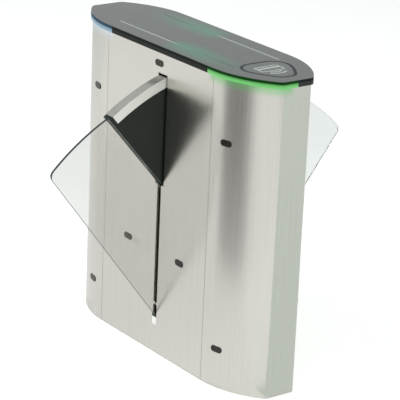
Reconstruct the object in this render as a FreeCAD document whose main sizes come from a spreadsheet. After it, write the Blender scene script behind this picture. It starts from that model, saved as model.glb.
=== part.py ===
import FreeCAD, Part
import Sketcher
import os
from math import atan2, cos, hypot, pi, radians, sin, sqrt, tan

# Retracting flap barrier: a steel cabinet with two clear flaps that swing out of its long sides.
# X runs along the cabinet, the near face looks towards -Y, Z is up.
# The origin is the middle of the base, on the floor.
# The two wings stand side by side: the far one is the near one turned half round about an
# upright line between them.

# Driving dimensions, in millimetres and degrees
SIZES = {
    # Cabinet plan and sheet metal
    "total_height": 1000,
    "cab_length": 984,
    "cab_width": 278,
    "end_width": 104,
    "panel_length": 552,
    "bend_radius": 14,
    "sheet": 2,
    "seam_gap": 1.2,
    "return_depth": 14,
    "flange_depth": 18,
    "fit_gap": 0.3,
    # Base, posts and deck
    "base_thick": 8,
    "anchor_spacing_x": 720,
    "anchor_spacing_y": 170,
    "anchor_hole": 14,
    "cable_entry": 50,
    "cable_entry_x": 300,
    "tube_side": 30,
    "tube_wall": 2,
    "post_inset": 21,
    "deck_thick": 3,
    # Top band, tray and glass
    "top_overhang": 6.4,
    "band_depth": 12,
    "band_height": 13,
    "band_joint": 0.6,
    "glass_thick": 8,
    "glass_chamfer": 1.2,
    "led_start": 252,
    "tray_window_length": 500,
    "tray_window_width": 140,
    "line_end_gap": 194,
    "line_width": 7,
    "line_height": 14,
    "line_y": 85,
    "reader_length": 167,
    "reader_end_gap": 34,
    "reader_side_gap": 43,
    "reader_inner_corner": 55,
    "reader_outer_corner": 34,
    "reader_ring": 9,
    "reader_depth": 3,
    # Infrared sensors
    "lens_length": 42,
    "lens_width": 20,
    "lens_proud": 1.2,
    "housing_length": 48,
    "housing_width": 26,
    "housing_depth": 16,
    "sensor_top_drop": 35,
    "sensor_side_x": 141.5,
    "sensor_side_z": 340,
    "cover_sensor_run": 65,
    "cover_upper_z": 784,
    "cover_lower_z": 126,
    # Flap panel, seen from the end of its pivot
    "pivot_height": 130,
    "near_wing_x": 21,
    "hood_apart": 4,
    "panel_thick": 10,
    "panel_rim_gap": 1,
    "panel_edge_offset": 112,
    "panel_edge_angle": 52.6,
    "panel_corner": 22,
    "panel_lap": 12,
    "panel_mouth_gap": 5,
    "panel_root": 20,
    "panel_heel_out": 44,
    "panel_heel_low": 20,
    "panel_heel_high": 200,
    # Hood over the panel
    "hood_thick": 38,
    "hood_skin": 2,
    "cheek_thick": 3,
    "rim_thick": 2.5,
    "rim_fall": 37.5,
    "rim_heel_angle": 81.2,
    "rim_curve": 740,
    "rim_flange": 30,
    "rim_end_gap": 13,
    "mouth_offset": 177.5,
    "mouth_angle": 49.5,
    "mouth_lip_gap": 1.5,
    "cheek_inset": 14,
    "cheek_hub": 30,
    # Slot in the side panel
    "slot_drop": 64.8,
    "slot_side_gap": 5,
    "slit_side_gap": 6.5,
    "slot_end_gap": 3.5,
    "guide_height": 26,
    "guide_top_gap": 6,
    "guide_flange": 8,
    "guide_depth": 4,
    # Pivot and drive
    "shaft_dia": 20,
    "running_fit": 0.08,
    "hub_dia": 30,
    "hub_end_gap": 2,
    "arm_thick": 5,
    "arm_hub": 26,
    "pin_dia": 8,
    "sleeve_dia": 44,
    "gear_module": 2.5,
    "gear_width": 9,
    "gear_gap": 3.5,
    "gear_backlash": 0.8,
    "drive_shaft_dia": 14,
    "drive_shaft_end": 14,
    "plate_thick": 8,
    "plate_width": 200,
    "plate_height": 200,
    "foot_length": 40,
    "foot_width": 42,
    "gearbox_side": 84,
    "gearbox_length": 50,
    "motor_dia": 70,
    "motor_length": 100,
    # Electrics on the base plate
    "control_length": 100,
    "control_width": 120,
    "control_height": 150,
    "electrics_inset": 107,
    "supply_length": 110,
    "supply_width": 80,
    "supply_height": 60,
}

# Gear teeth: the panel gear turns the hood gear at half speed through the drive shaft
PANEL_TEETH = 24
DRIVE_PANEL_TEETH = 24
DRIVE_HOOD_TEETH = 16
HOOD_TEETH = 32

# Tooth form: flank angle in degrees, heights in modules
PRESSURE_ANGLE = 20
ADDENDUM = 0.9
DEDENDUM = 1.2

# Clamp pins through arms and panel, as distances out from and above the pivot
PIN_SPOTS = [(85, 22), (82, 105), (86, 185)]

# Outline of a clamp arm, as distances out from and above the pivot
ARM_OUTLINE = [(0, -26), (108, -12), (112, 40), (104, 208), (60, 212), (-22, 14)]

doc = FreeCAD.newDocument("flap_barrier")
dim = doc.addObject("Spreadsheet::Sheet", "dim")
for row, (alias, value) in enumerate(SIZES.items(), start=1):
    dim.set(f"A{row}", alias)
    dim.set(f"B{row}", str(value))
    dim.setAlias(f"B{row}", alias)
doc.recompute()

X_AXIS = FreeCAD.Vector(1, 0, 0)
Y_AXIS = FreeCAD.Vector(0, 1, 0)
Z_AXIS = FreeCAD.Vector(0, 0, 1)
HALF_TURN = FreeCAD.Placement(FreeCAD.Vector(), FreeCAD.Rotation(Z_AXIS, 180))
IN_PLACE = FreeCAD.Placement()

# Edges are found by their place to within this distance
CLOSE = 0.01

pieces = []


def size(alias):
    """Read one size from the sheet."""
    return float(dim.get(alias))


def keep(obj, label):
    """Give a finished sub-part its name and put it on the list of pieces."""
    obj.Label = label
    pieces.append(obj)
    return obj


def feature(label, shape, placement=IN_PLACE):
    """A shape drawn in code becomes a document object, then gets its place."""
    obj = doc.addObject("Part::Feature", label)
    obj.Shape = shape
    obj.Placement = placement
    return obj


def bind(obj, values):
    """Tie properties of an object to expressions of the sheet."""
    for prop, expression in values.items():
        obj.setExpression(prop, expression)


def box(label, lengths, corner):
    """A block whose three lengths and lowest corner are expressions of the sheet."""
    obj = doc.addObject("Part::Box", label)
    bind(obj, dict(zip(("Length", "Width", "Height"), lengths)))
    bind(obj, dict(zip(("Placement.Base.x", "Placement.Base.y", "Placement.Base.z"), corner)))
    return obj


def rod(label, radius, length, start):
    """An upright cylinder; radius, length and start point are expressions of the sheet."""
    obj = doc.addObject("Part::Cylinder", label)
    bind(obj, {"Radius": radius, "Height": length})
    bind(obj, dict(zip(("Placement.Base.x", "Placement.Base.y", "Placement.Base.z"), start)))
    return obj


def cut(label, base, tool):
    """The base with the tool taken away."""
    obj = doc.addObject("Part::Cut", label)
    obj.Base = base
    obj.Tool = tool
    return obj


def fuse(label, shapes):
    """Several solids joined into one."""
    obj = doc.addObject("Part::MultiFuse", label)
    obj.Shapes = shapes
    obj.Refine = True
    return obj


# Heights that several pieces share

def steel_top():
    """Top edge of the steel skin, under the band."""
    return size("total_height") - size("glass_thick") - size("band_height")


STEEL_TOP = "(dim.total_height - dim.glass_thick - dim.band_height)"
DECK_BOTTOM = f"({STEEL_TOP} - dim.deck_thick)"


# Plan of the cabinet: straight sides, an arc at each corner, flat ends

def arc_radius():
    """Radius of the corner arcs, which leave the straight sides without a kink."""
    run = (size("cab_length") - size("panel_length")) / 2
    rise = (size("cab_width") - size("end_width")) / 2
    return (run ** 2 + rise ** 2) / (2 * rise)


def arc_point(turn, grow=0):
    """Point of the near right corner arc, turned from the straight side towards the end."""
    radius = arc_radius()
    centre_y = radius - size("cab_width") / 2
    x = size("panel_length") / 2 + (radius + grow) * sin(turn)
    y = centre_y - (radius + grow) * cos(turn)
    return FreeCAD.Vector(x, y, 0)


def plan_face(grow):
    """The cabinet's plan, moved outwards by grow, with rounded ridges at the flat ends."""
    run = (size("cab_length") - size("panel_length")) / 2
    last = atan2(run + grow, sqrt((arc_radius() + grow) ** 2 - (run + grow) ** 2))
    quarter = [arc_point(0, grow), arc_point(last / 2, grow), arc_point(last, grow)]
    signs = [(1, 1), (1, -1), (-1, -1), (-1, 1)]
    corners = []
    for number, (sign_x, sign_y) in enumerate(signs):
        arc = [FreeCAD.Vector(sign_x * p.x, sign_y * p.y, 0) for p in quarter]
        corners.append(arc if number % 2 == 0 else arc[::-1])
    edges = []
    for here, following in zip(corners, corners[1:] + corners[:1]):
        edges.append(Part.Arc(*here).toShape())
        edges.append(Part.LineSegment(here[2], following[0]).toShape())
    return Part.Face(Part.Wire(edges))


def plan_prism(grow, bottom, top):
    """The plan as an upright solid between two heights."""
    face = plan_face(grow)
    face.translate(FreeCAD.Vector(0, 0, bottom))
    solid = face.extrude(FreeCAD.Vector(0, 0, top - bottom))
    radius = size("bend_radius") + grow
    if radius <= 0:
        return solid
    ridge_x = size("cab_length") / 2 + grow
    upright = [edge for edge in solid.Edges if edge.BoundBox.ZLength > (top - bottom) / 2]
    ridges = [edge for edge in upright if abs(abs(edge.CenterOfMass.x) - ridge_x) < CLOSE]
    return solid.makeFillet(radius, ridges)


def plan_ring(outer, inner, bottom, top):
    """The space between two plans."""
    return plan_prism(outer, bottom, top).cut(plan_prism(inner, bottom, top))


def block(low, high):
    """A plain block between two corners."""
    low = FreeCAD.Vector(*low)
    high = FreeCAD.Vector(*high)
    span = high - low
    return Part.makeBox(span.x, span.y, span.z, low)


# Wing plane: distances out from the pivot and above it, drawn at a place along X

def wing_point(out, up, x=0):
    """A point of the far wing's plane."""
    return FreeCAD.Vector(x, out, size("pivot_height") + up)


def wing_prism(edges, start, end):
    """A closed outline of the wing plane as a plate between two places along X."""
    face = Part.Face(Part.Wire(edges))
    face.translate(FreeCAD.Vector(start, 0, 0))
    return face.extrude(FreeCAD.Vector(end - start, 0, 0))


def line(first, second):
    return Part.LineSegment(wing_point(*first), wing_point(*second)).toShape()


def arc(first, middle, last):
    return Part.Arc(wing_point(*first), wing_point(*middle), wing_point(*last)).toShape()


def polygon(points):
    return [line(here, there) for here, there in zip(points, points[1:] + points[:1])]


def polar(radius, angle):
    return (radius * cos(angle), radius * sin(angle))


def slanted(offset, angle, along):
    """Point of a slanted line that passes the pivot at an offset; along starts at the foot."""
    return (offset * sin(angle) + along * cos(angle), along * sin(angle) - offset * cos(angle))


def slanted_at_out(offset, angle, out):
    """Point of the slanted line at a distance out from the pivot."""
    return slanted(offset, angle, (out - offset * sin(angle)) / cos(angle))


def slanted_at_circle(offset, angle, centre, radius):
    """Upper point where the slanted line crosses a circle."""
    foot = slanted(offset, angle, 0)
    gap = (foot[0] - centre[0], foot[1] - centre[1])
    along = gap[0] * cos(angle) + gap[1] * sin(angle)
    across = gap[0] ** 2 + gap[1] ** 2 - radius ** 2
    return slanted(offset, angle, -along + sqrt(along ** 2 - across))


def disc(radius, start, end, centre=(0, 0)):
    """A round solid along X about a point of the wing plane."""
    middle = wing_point(*centre, x=start)
    return Part.makeCylinder(radius, end - start, middle, X_AXIS)


def gear_teeth(teeth, half_step, start, end, centre=(0, 0)):
    """A spur gear; half_step turns it by half a tooth, so that it meshes above or below."""
    module = size("gear_module")
    pitch = module * teeth / 2
    flank = tan(radians(PRESSURE_ANGLE))
    half = pi * module / 4 - size("gear_backlash") / 2
    depth = DEDENDUM * module
    height = ADDENDUM * module
    root = (pitch - depth, half + depth * flank)
    tip = (pitch + height, half - height * flank)
    outline = []
    for tooth in range(teeth):
        middle = 2 * pi * (tooth + half_step / 2) / teeth
        for side, (radius, width) in ((-1, root), (-1, tip), (1, tip), (1, root)):
            outline.append(polar(radius, middle + side * width / radius))
    moved = [(out + centre[0], up + centre[1]) for out, up in outline]
    return wing_prism(polygon(moved), start, end)


# Places along X of the far wing and its drive, from the plane between the two wings

hood_back = size("hood_apart") / 2
hood_front = hood_back + size("hood_thick")
wing_middle = (hood_back + hood_front) / 2
panel_back = wing_middle - size("panel_thick") / 2
panel_front = wing_middle + size("panel_thick") / 2
cheek_back = hood_back + size("hood_skin")
cheek_front = hood_front - size("hood_skin")
hood_gear = cheek_front + size("gear_gap")
panel_gear = hood_gear + size("gear_width") + size("gear_gap")
hub_end = panel_gear + size("gear_width") + size("hub_end_gap") / 2
plate_start = hub_end + size("hub_end_gap")
plate_end = plate_start + size("plate_thick")
drive_drop = size("gear_module") * (PANEL_TEETH + DRIVE_PANEL_TEETH) / 2

# Places of both wings in the cabinet

near_slot_x = size("near_wing_x")
between_x = near_slot_x + wing_middle
far_slot_x = between_x + wing_middle
FAR_WING = FreeCAD.Placement(FreeCAD.Vector(between_x, 0, 0), FreeCAD.Rotation())
NEAR_WING = FAR_WING.multiply(HALF_TURN)

face_out = size("cab_width") / 2
inner_out = face_out - size("sheet")
edge_angle = radians(size("panel_edge_angle"))
mouth_angle = radians(size("mouth_angle"))
mouth_offset = -size("mouth_offset")

# The slot's top sets the radius of the hood's heel; its rim falls towards the mouth,
# and the panel's top edge passes close under the rim's tip

slot_top = steel_top() - size("slot_drop")
heel_radius = hypot(slot_top - size("slot_end_gap") - size("pivot_height"), face_out)
tip_radius = heel_radius - size("rim_fall")
panel_radius = tip_radius - size("rim_thick") - size("panel_rim_gap")


# Rim of the hood: an arc from its tip at the mouth to its heel inside the cabinet

rim_tip = slanted(mouth_offset, mouth_angle, sqrt(tip_radius ** 2 - mouth_offset ** 2))
rim_heel = polar(heel_radius, radians(size("rim_heel_angle")))
chord = (rim_heel[0] - rim_tip[0], rim_heel[1] - rim_tip[1])
half_chord = hypot(*chord) / 2
rim_depth = sqrt(size("rim_curve") ** 2 - half_chord ** 2)
rim_centre = (
    rim_tip[0] + chord[0] / 2 - rim_depth * chord[1] / (2 * half_chord),
    rim_tip[1] + chord[1] / 2 + rim_depth * chord[0] / (2 * half_chord),
)


def rim_arc(depth, short=0):
    """Tip, middle and heel of the arc that lies depth under the rim's outside and ends short of the mouth."""
    radius = size("rim_curve") - depth
    tip = slanted_at_circle(mouth_offset - short, mouth_angle, rim_centre, radius)
    turn = atan2(rim_heel[1] - rim_centre[1], rim_heel[0] - rim_centre[0])
    heel = (rim_centre[0] + radius * cos(turn), rim_centre[1] + radius * sin(turn))
    first = atan2(tip[1] - rim_centre[1], tip[0] - rim_centre[0])
    middle = (first + turn) / 2
    crest = (rim_centre[0] + radius * cos(middle), rim_centre[1] + radius * sin(middle))
    return tip, crest, heel


def rim_band(depth, start, end, short):
    """A strip along the rim, as deep as given, between two places along X; it ends short of the mouth."""
    outer = rim_arc(0, short)
    inner = rim_arc(depth, short)
    edges = [arc(*outer), line(outer[2], inner[2]), arc(*inner[::-1]), line(inner[0], outer[0])]
    return wing_prism(edges, start, end)


def mouth_lip(start, end):
    """Edge of a cheek that is folded in along the hood's mouth, almost to the clear panel."""
    inset = face_out - size("cheek_inset")
    inner = mouth_offset - size("cheek_thick")
    under_rim = size("rim_curve") - size("rim_thick")
    corners = [
        slanted_at_circle(mouth_offset, mouth_angle, rim_centre, under_rim),
        slanted_at_out(mouth_offset, mouth_angle, inset),
        slanted_at_out(inner, mouth_angle, inset),
        slanted_at_circle(inner, mouth_angle, rim_centre, under_rim),
    ]
    return wing_prism(polygon(corners), start, end)


def mouth_brow():
    """Black end of the rim, between the steel and the mouth."""
    depth = size("rim_thick")
    whole = rim_band(depth, cheek_back, cheek_front, 0)
    return whole.cut(rim_band(depth, cheek_back, cheek_front, size("rim_end_gap")))


def hood_cap():
    """Steel channel over the rim with a flange down each side."""
    skin = size("hood_skin")
    short = size("rim_end_gap")
    cap = rim_band(size("rim_thick"), hood_back, hood_front, short)
    for start in (hood_back, hood_front - skin):
        cap = cap.fuse(rim_band(size("rim_flange"), start, start + skin, short))
    return cap.removeSplitter()


def cheek_plate(start, end, bore):
    """Black side of the hood, from under the rim down to the pivot."""
    tip, crest, heel = rim_arc(size("rim_thick"))
    knee = slanted_at_out(mouth_offset, mouth_angle, face_out - size("cheek_inset"))
    hub = size("cheek_hub")
    edges = [arc(tip, crest, heel)]
    corners = [heel, (-hub, 0), (hub, 0), knee, tip]
    for here, there in zip(corners, corners[1:]):
        edges.append(line(here, there))
    plate = wing_prism(edges, start, end).fuse(disc(hub, start, end))
    return plate.cut(disc(bore, start, end)).removeSplitter()


def back_cheek():
    """The plain cheek turns on the pivot shaft."""
    bore = size("shaft_dia") / 2 + size("running_fit")
    plate = cheek_plate(cheek_back, cheek_back + size("cheek_thick"), bore)
    lip = mouth_lip(cheek_back, panel_back - size("mouth_lip_gap"))
    return plate.fuse(lip).removeSplitter()


def front_cheek():
    """The other cheek has the brow and a sleeve with the hood gear, and turns on the panel's hub."""
    bore = size("hub_dia") / 2 + size("running_fit")
    sleeve_end = hood_gear + size("gear_width")
    plate = cheek_plate(cheek_front - size("cheek_thick"), cheek_front, bore)
    plate = plate.fuse(mouth_lip(panel_front + size("mouth_lip_gap"), cheek_front)).fuse(mouth_brow())
    sleeve = disc(size("sleeve_dia") / 2, cheek_front, sleeve_end)
    gear = gear_teeth(HOOD_TEETH, 0, hood_gear, sleeve_end)
    ring = sleeve.fuse(gear).cut(disc(bore, cheek_front, sleeve_end))
    return plate.fuse(ring).removeSplitter()


def flap_panel():
    """Clear panel: slanted lower edge, rounded corner, top edge round the pivot, clamped heel."""
    corner = size("panel_corner")
    radius = panel_radius
    offset = size("panel_edge_offset")
    centre_along = sqrt((radius - corner) ** 2 - (offset - corner) ** 2)
    centre = slanted(offset - corner, edge_angle, centre_along)
    root = slanted_at_out(offset, edge_angle, face_out - size("panel_root"))
    edge_end = slanted(offset, edge_angle, centre_along)
    turn = atan2(centre[1], centre[0])
    corner_end = polar(radius, turn)
    middle = (edge_angle - pi / 2 + turn) / 2
    corner_mid = (centre[0] + corner * cos(middle), centre[1] + corner * sin(middle))
    mouth = slanted_at_circle(mouth_offset, mouth_angle, (0, 0), radius)
    last = atan2(mouth[1], mouth[0]) + size("panel_lap") / radius
    top_end = polar(radius, last)
    top_mid = polar(radius, (turn + last) / 2)
    throat = slanted_at_out(mouth_offset + size("panel_mouth_gap"), mouth_angle, face_out)
    heel_high = (size("panel_heel_out"), size("panel_heel_high"))
    heel_low = (size("panel_heel_out"), size("panel_heel_low"))
    edges = [line(root, edge_end), arc(edge_end, corner_mid, corner_end), arc(corner_end, top_mid, top_end)]
    corners = [top_end, throat, heel_high, heel_low, root]
    for here, there in zip(corners, corners[1:]):
        edges.append(line(here, there))
    plate = wing_prism(edges, panel_back, panel_front)
    hole = size("pin_dia") / 2 + size("running_fit")
    for spot in PIN_SPOTS:
        plate = plate.cut(disc(hole, panel_back, panel_front, spot))
    return plate


def panel_hub():
    """Hub tube on the pivot shaft with two clamp arms, their pins and the panel gear."""
    arm = size("arm_thick")
    start = panel_back - arm
    hub = disc(size("hub_dia") / 2, start, hub_end)
    for arm_start in (start, panel_front):
        arm_end = arm_start + arm
        hub = hub.fuse(wing_prism(polygon(ARM_OUTLINE), arm_start, arm_end))
        hub = hub.fuse(disc(size("arm_hub"), arm_start, arm_end))
    for spot in PIN_SPOTS:
        hub = hub.fuse(disc(size("pin_dia") / 2, start, panel_front + arm, spot))
    hub = hub.fuse(gear_teeth(PANEL_TEETH, 0, panel_gear, panel_gear + size("gear_width")))
    bore = disc(size("shaft_dia") / 2 + size("running_fit"), start, hub_end)
    return hub.cut(bore).removeSplitter()


def drive_shaft():
    """Shaft of the gear motor with the two gears that turn panel and hood."""
    low = (0, -drive_drop)
    shaft = disc(size("drive_shaft_dia") / 2, hood_gear, plate_end + size("drive_shaft_end"), low)
    width = size("gear_width")
    shaft = shaft.fuse(gear_teeth(DRIVE_HOOD_TEETH, 1, hood_gear, hood_gear + width, low))
    shaft = shaft.fuse(gear_teeth(DRIVE_PANEL_TEETH, 1, panel_gear, panel_gear + width, low))
    return shaft.removeSplitter()


def slot_cuts(middle):
    """Openings of the near panel: wide for the hood above, narrow for the clear panel below."""
    wide = size("hood_thick") / 2 + size("slot_side_gap")
    narrow = size("panel_thick") / 2 + size("slit_side_gap")
    crossing = slanted_at_out(mouth_offset, mouth_angle, inner_out)[1]
    step = size("pivot_height") + crossing - size("slot_end_gap")
    front = -face_out - size("sheet")
    back = -inner_out + size("sheet")
    return (
        block((middle - wide, front, step), (middle + wide, back, slot_top)),
        block((middle - narrow, front, slit_bottom()), (middle + narrow, back, step)),
    )


def slit_bottom():
    """Foot of the narrow slot, with room for the white guide under the panel's edge."""
    crossing = slanted_at_out(size("panel_edge_offset"), edge_angle, inner_out)[1]
    return size("pivot_height") + crossing - size("guide_top_gap") - size("guide_height")


def obround(length, width, start, end):
    """A rounded slot shape that looks along -Y, long way along X."""
    straight = length - width
    shape = block((-straight / 2, start, -width / 2), (straight / 2, end, width / 2))
    for side in (-1, 1):
        at = FreeCAD.Vector(side * straight / 2, start, 0)
        shape = shape.fuse(Part.makeCylinder(width / 2, end - start, at, Y_AXIS))
    return shape.removeSplitter()


def sensor_hole(placement):
    """Hole in the sheet for one sensor lens."""
    gap = 2 * size("fit_gap")
    reach = size("housing_depth")
    hole = obround(size("lens_length") + gap, size("lens_width") + gap, -reach, reach)
    hole.Placement = placement
    return hole


# Where the sensors look out, near face and right end cover; the others are a half turn away

def face_spot(x, z):
    return FreeCAD.Placement(FreeCAD.Vector(x, -face_out, z), FreeCAD.Rotation())


def cover_spot(side, z):
    """On the right cover's near arc (side 1) or far arc (side -1)."""
    run = size("cover_sensor_run")
    turn = atan2(run, sqrt(arc_radius() ** 2 - run ** 2))
    place = arc_point(turn)
    angle = turn if side > 0 else pi - turn
    spot = FreeCAD.Vector(place.x, side * place.y, z)
    return FreeCAD.Placement(spot, FreeCAD.Rotation(Z_AXIS, angle * 180 / pi))


PANEL_SPOTS = {
    "top": face_spot(0, steel_top() - size("sensor_top_drop")),
    "left": face_spot(-size("sensor_side_x"), size("sensor_side_z")),
    "right": face_spot(size("sensor_side_x"), size("sensor_side_z")),
}
COVER_SPOTS = {
    "near_upper": cover_spot(1, size("cover_upper_z")),
    "near_lower": cover_spot(1, size("cover_lower_z")),
    "far_upper": cover_spot(-1, size("cover_upper_z")),
    "far_lower": cover_spot(-1, size("cover_lower_z")),
}


def side_panel(middle):
    """Flat near panel with folded edges, three sensor holes and a stepped slot at its middle."""
    sheet = size("sheet")
    half = size("panel_length") / 2 - size("seam_gap") / 2
    base = size("base_thick")
    panel = block((-half, -face_out, 0), (half, -inner_out, steel_top()))
    deep = -inner_out + size("return_depth")
    for start in (-half, half - sheet):
        fold_top = steel_top() - size("deck_thick")
        panel = panel.fuse(block((start, -face_out, base), (start + sheet, deep, fold_top)))
    reach = size("panel_length") / 2 - size("post_inset") - size("tube_side")
    flange_end = -inner_out + size("flange_depth")
    panel = panel.fuse(block((-reach, -face_out, base), (reach, flange_end, base + sheet)))
    for opening in slot_cuts(middle):
        panel = panel.cut(opening)
    for spot in PANEL_SPOTS.values():
        panel = panel.cut(sensor_hole(spot))
    return panel.removeSplitter()


def end_cover():
    """Right end cover bent round both corners, with folded edges and four sensor holes."""
    sheet = size("sheet")
    start = size("panel_length") / 2 + size("seam_gap") / 2
    base = size("base_thick")
    top = steel_top()
    room = block((start, -size("cab_width"), -1), (size("cab_length"), size("cab_width"), top + 1))
    cover = plan_ring(0, -sheet, 0, top).common(room)
    flange = plan_ring(-sheet / 2, -sheet - size("flange_depth"), base, base + sheet)
    cover = cover.fuse(flange.common(room))
    fold_top = top - size("deck_thick")
    for side in (-1, 1):
        outer = side * (face_out - sheet / 2)
        inner = side * (inner_out - size("return_depth"))
        low = min(outer, inner)
        high = max(outer, inner)
        cover = cover.fuse(block((start, low, base), (start + sheet, high, fold_top)))
    for spot in COVER_SPOTS.values():
        cover = cover.cut(sensor_hole(spot))
    return cover.removeSplitter()


def band_part(low, high):
    """The part of the top band that lies inside a block of the plan."""
    top = size("total_height") - size("glass_thick")
    overhang = size("top_overhang")
    ring = plan_ring(overhang, overhang - size("band_depth"), steel_top(), top)
    return ring.common(block((*low, steel_top() - 1), (*high, top + 1)))


def reader_outline(grow, bottom, top):
    """Rounded shield round the card reader: its sides follow the cabinet's corners, its ends run across."""
    far_x = size("cab_length") / 2 - size("reader_end_gap") + grow
    near_x = far_x - size("reader_length") - 2 * grow
    wide = size("cab_width")
    shield = block((near_x, -wide, bottom), (far_x, wide, top))
    radius = arc_radius() - size("reader_side_gap") + grow
    off_axis = arc_radius() - size("cab_width") / 2
    for side in (-1, 1):
        centre = FreeCAD.Vector(size("panel_length") / 2, side * off_axis, bottom)
        shield = shield.common(Part.makeCylinder(radius, top - bottom, centre))
    for x, corner in ((near_x, "reader_inner_corner"), (far_x, "reader_outer_corner")):
        upright = [edge for edge in shield.Edges if edge.BoundBox.ZLength > (top - bottom) / 2]
        ridges = [edge for edge in upright if abs(edge.CenterOfMass.x - x) < CLOSE]
        shield = shield.makeFillet(size(corner) + grow, ridges)
    return shield


def reader_ring(clearance):
    """The ring itself, or with a clearance the groove that it lies in."""
    top = size("total_height")
    bottom = top - size("reader_depth")
    outer = reader_outline(clearance, bottom, top)
    return outer.cut(reader_outline(-size("reader_ring") - clearance, bottom, top))


def light_line_room(bottom, clearance):
    """Space of the near inlaid light line above a height."""
    half = size("cab_length") / 2 - size("line_end_gap") + clearance
    wide = size("line_width") / 2 + clearance
    middle = -size("line_y")
    return block((-half, middle - wide, bottom), (half, middle + wide, size("total_height")))


def turned(shape):
    """The same shape half round the cabinet."""
    copy = shape.copy()
    copy.rotate(FreeCAD.Vector(), Z_AXIS, 180)
    return copy


def top_glass():
    """Glass over the whole top, with chamfered rim, slots for the light lines and a groove for the ring."""
    top = size("total_height")
    bottom = top - size("glass_thick")
    glass = plan_prism(size("top_overhang"), bottom, top)
    rim = [edge for edge in glass.Edges if abs(edge.CenterOfMass.z - top) < CLOSE]
    glass = glass.makeChamfer(size("glass_chamfer"), rim)
    slot = light_line_room(bottom, size("fit_gap"))
    return glass.cut(slot).cut(turned(slot)).cut(reader_ring(size("fit_gap")))


def light_tray():
    """Black tray behind the band, open in the middle, with beds for the light lines."""
    bottom = steel_top()
    top = size("total_height") - size("glass_thick")
    inset = size("top_overhang") - size("band_depth") - size("fit_gap")
    tray = plan_prism(inset, bottom, top)
    half = (size("tray_window_length") / 2, size("tray_window_width") / 2)
    tray = tray.cut(block((-half[0], -half[1], bottom), (half[0], half[1], top)))
    bed = light_line_room(size("total_height") - size("line_height"), size("fit_gap"))
    return tray.cut(bed).cut(turned(bed))


def slot_guide(middle):
    """White block that closes the foot of the narrow slot, with a flange behind the sheet."""
    half = size("panel_thick") / 2 + size("slit_side_gap") - size("fit_gap")
    foot = slit_bottom()
    top = foot + size("guide_height")
    head = block((middle - half, -face_out, foot + size("fit_gap")), (middle + half, -inner_out, top))
    wide = half + size("guide_flange")
    deep = -inner_out + size("guide_depth")
    low = foot - size("guide_flange")
    high = top - size("guide_flange")
    flange = block((middle - wide, -inner_out, low), (middle + wide, deep, high))
    return head.fuse(flange).removeSplitter()


def both_ways(near_label, far_label, shape):
    """A piece of the near side and the same piece half round the cabinet."""
    keep(feature(near_label, shape), near_label)
    keep(feature(far_label, shape, HALF_TURN), far_label)


def both_wings(name, shape):
    """A piece of the far wing, and the same piece turned half round for the near wing."""
    keep(feature("near_" + name, shape, NEAR_WING), "near_" + name)
    keep(feature("far_" + name, shape, FAR_WING), "far_" + name)


# Base plate with its anchor holes and cable entry

base_blank = feature("base_blank", plan_prism(-size("sheet") - size("fit_gap"), 0, size("base_thick")))
base_holes = []
for side_x in ("-", ""):
    for side_y in ("-", ""):
        spot = (f"{side_x}dim.anchor_spacing_x / 2", f"{side_y}dim.anchor_spacing_y / 2", "0")
        base_holes.append(rod("anchor_hole", "dim.anchor_hole / 2", "dim.base_thick", spot))
cable_spot = ("-dim.cable_entry_x", "0", "0")
base_holes.append(rod("cable_hole", "dim.cable_entry / 2", "dim.base_thick", cable_spot))
keep(cut("base_plate_cut", base_blank, fuse("base_tools", base_holes)), "base_plate")

# Square-tube posts behind the side panels, and cross beams between them

POST_HEIGHT = f"({DECK_BOTTOM} - dim.base_thick)"
HOLLOW = "dim.tube_side - 2 * dim.tube_wall"
POST_LOW = "(dim.cab_width / 2 - dim.sheet - dim.tube_side)"
for name_x, side_x in (("right", 1), ("left", -1)):
    post_start = f"({side_x} * (dim.panel_length / 2 - dim.post_inset) - dim.tube_side / 2)"
    for name_y, side_y in (("near", -1), ("far", 1)):
        label = f"{name_y}_{name_x}_post"
        low = POST_LOW if side_y > 0 else f"(-{POST_LOW} - dim.tube_side)"
        corner = (post_start, low, "dim.base_thick")
        outer = box(label + "_tube", ("dim.tube_side", "dim.tube_side", POST_HEIGHT), corner)
        corner = (f"{post_start} + dim.tube_wall", f"{low} + dim.tube_wall", "dim.base_thick")
        hollow = box(label + "_hollow", (HOLLOW, HOLLOW, POST_HEIGHT), corner)
        keep(cut(label + "_cut", outer, hollow), label)
    label = f"{name_x}_beam"
    beam_z = f"({DECK_BOTTOM} - dim.tube_side)"
    span = f"2 * {POST_LOW}"
    corner = (post_start, f"-{POST_LOW}", beam_z)
    outer = box(label + "_tube", ("dim.tube_side", span, "dim.tube_side"), corner)
    corner = (f"{post_start} + dim.tube_wall", f"-{POST_LOW}", f"{beam_z} + dim.tube_wall")
    hollow = box(label + "_hollow", (HOLLOW, span, HOLLOW), corner)
    keep(cut(label + "_cut", outer, hollow), label)

# Deck plate on posts and beams, level with the top of the steel

deck_shape = plan_prism(-size("sheet") - size("fit_gap"), steel_top() - size("deck_thick"), steel_top())
keep(feature("top_deck", deck_shape), "top_deck")

# Steel skin

keep(feature("near_panel", side_panel(near_slot_x)), "near_panel")
keep(feature("far_panel", side_panel(-far_slot_x), HALF_TURN), "far_panel")
both_ways("right_cover", "left_cover", end_cover())
keep(feature("near_slot_guide", slot_guide(near_slot_x)), "near_slot_guide")
keep(feature("far_slot_guide", slot_guide(-far_slot_x), HALF_TURN), "far_slot_guide")

# Top band: dark trim along the sides, light diffusers round both ends

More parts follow.
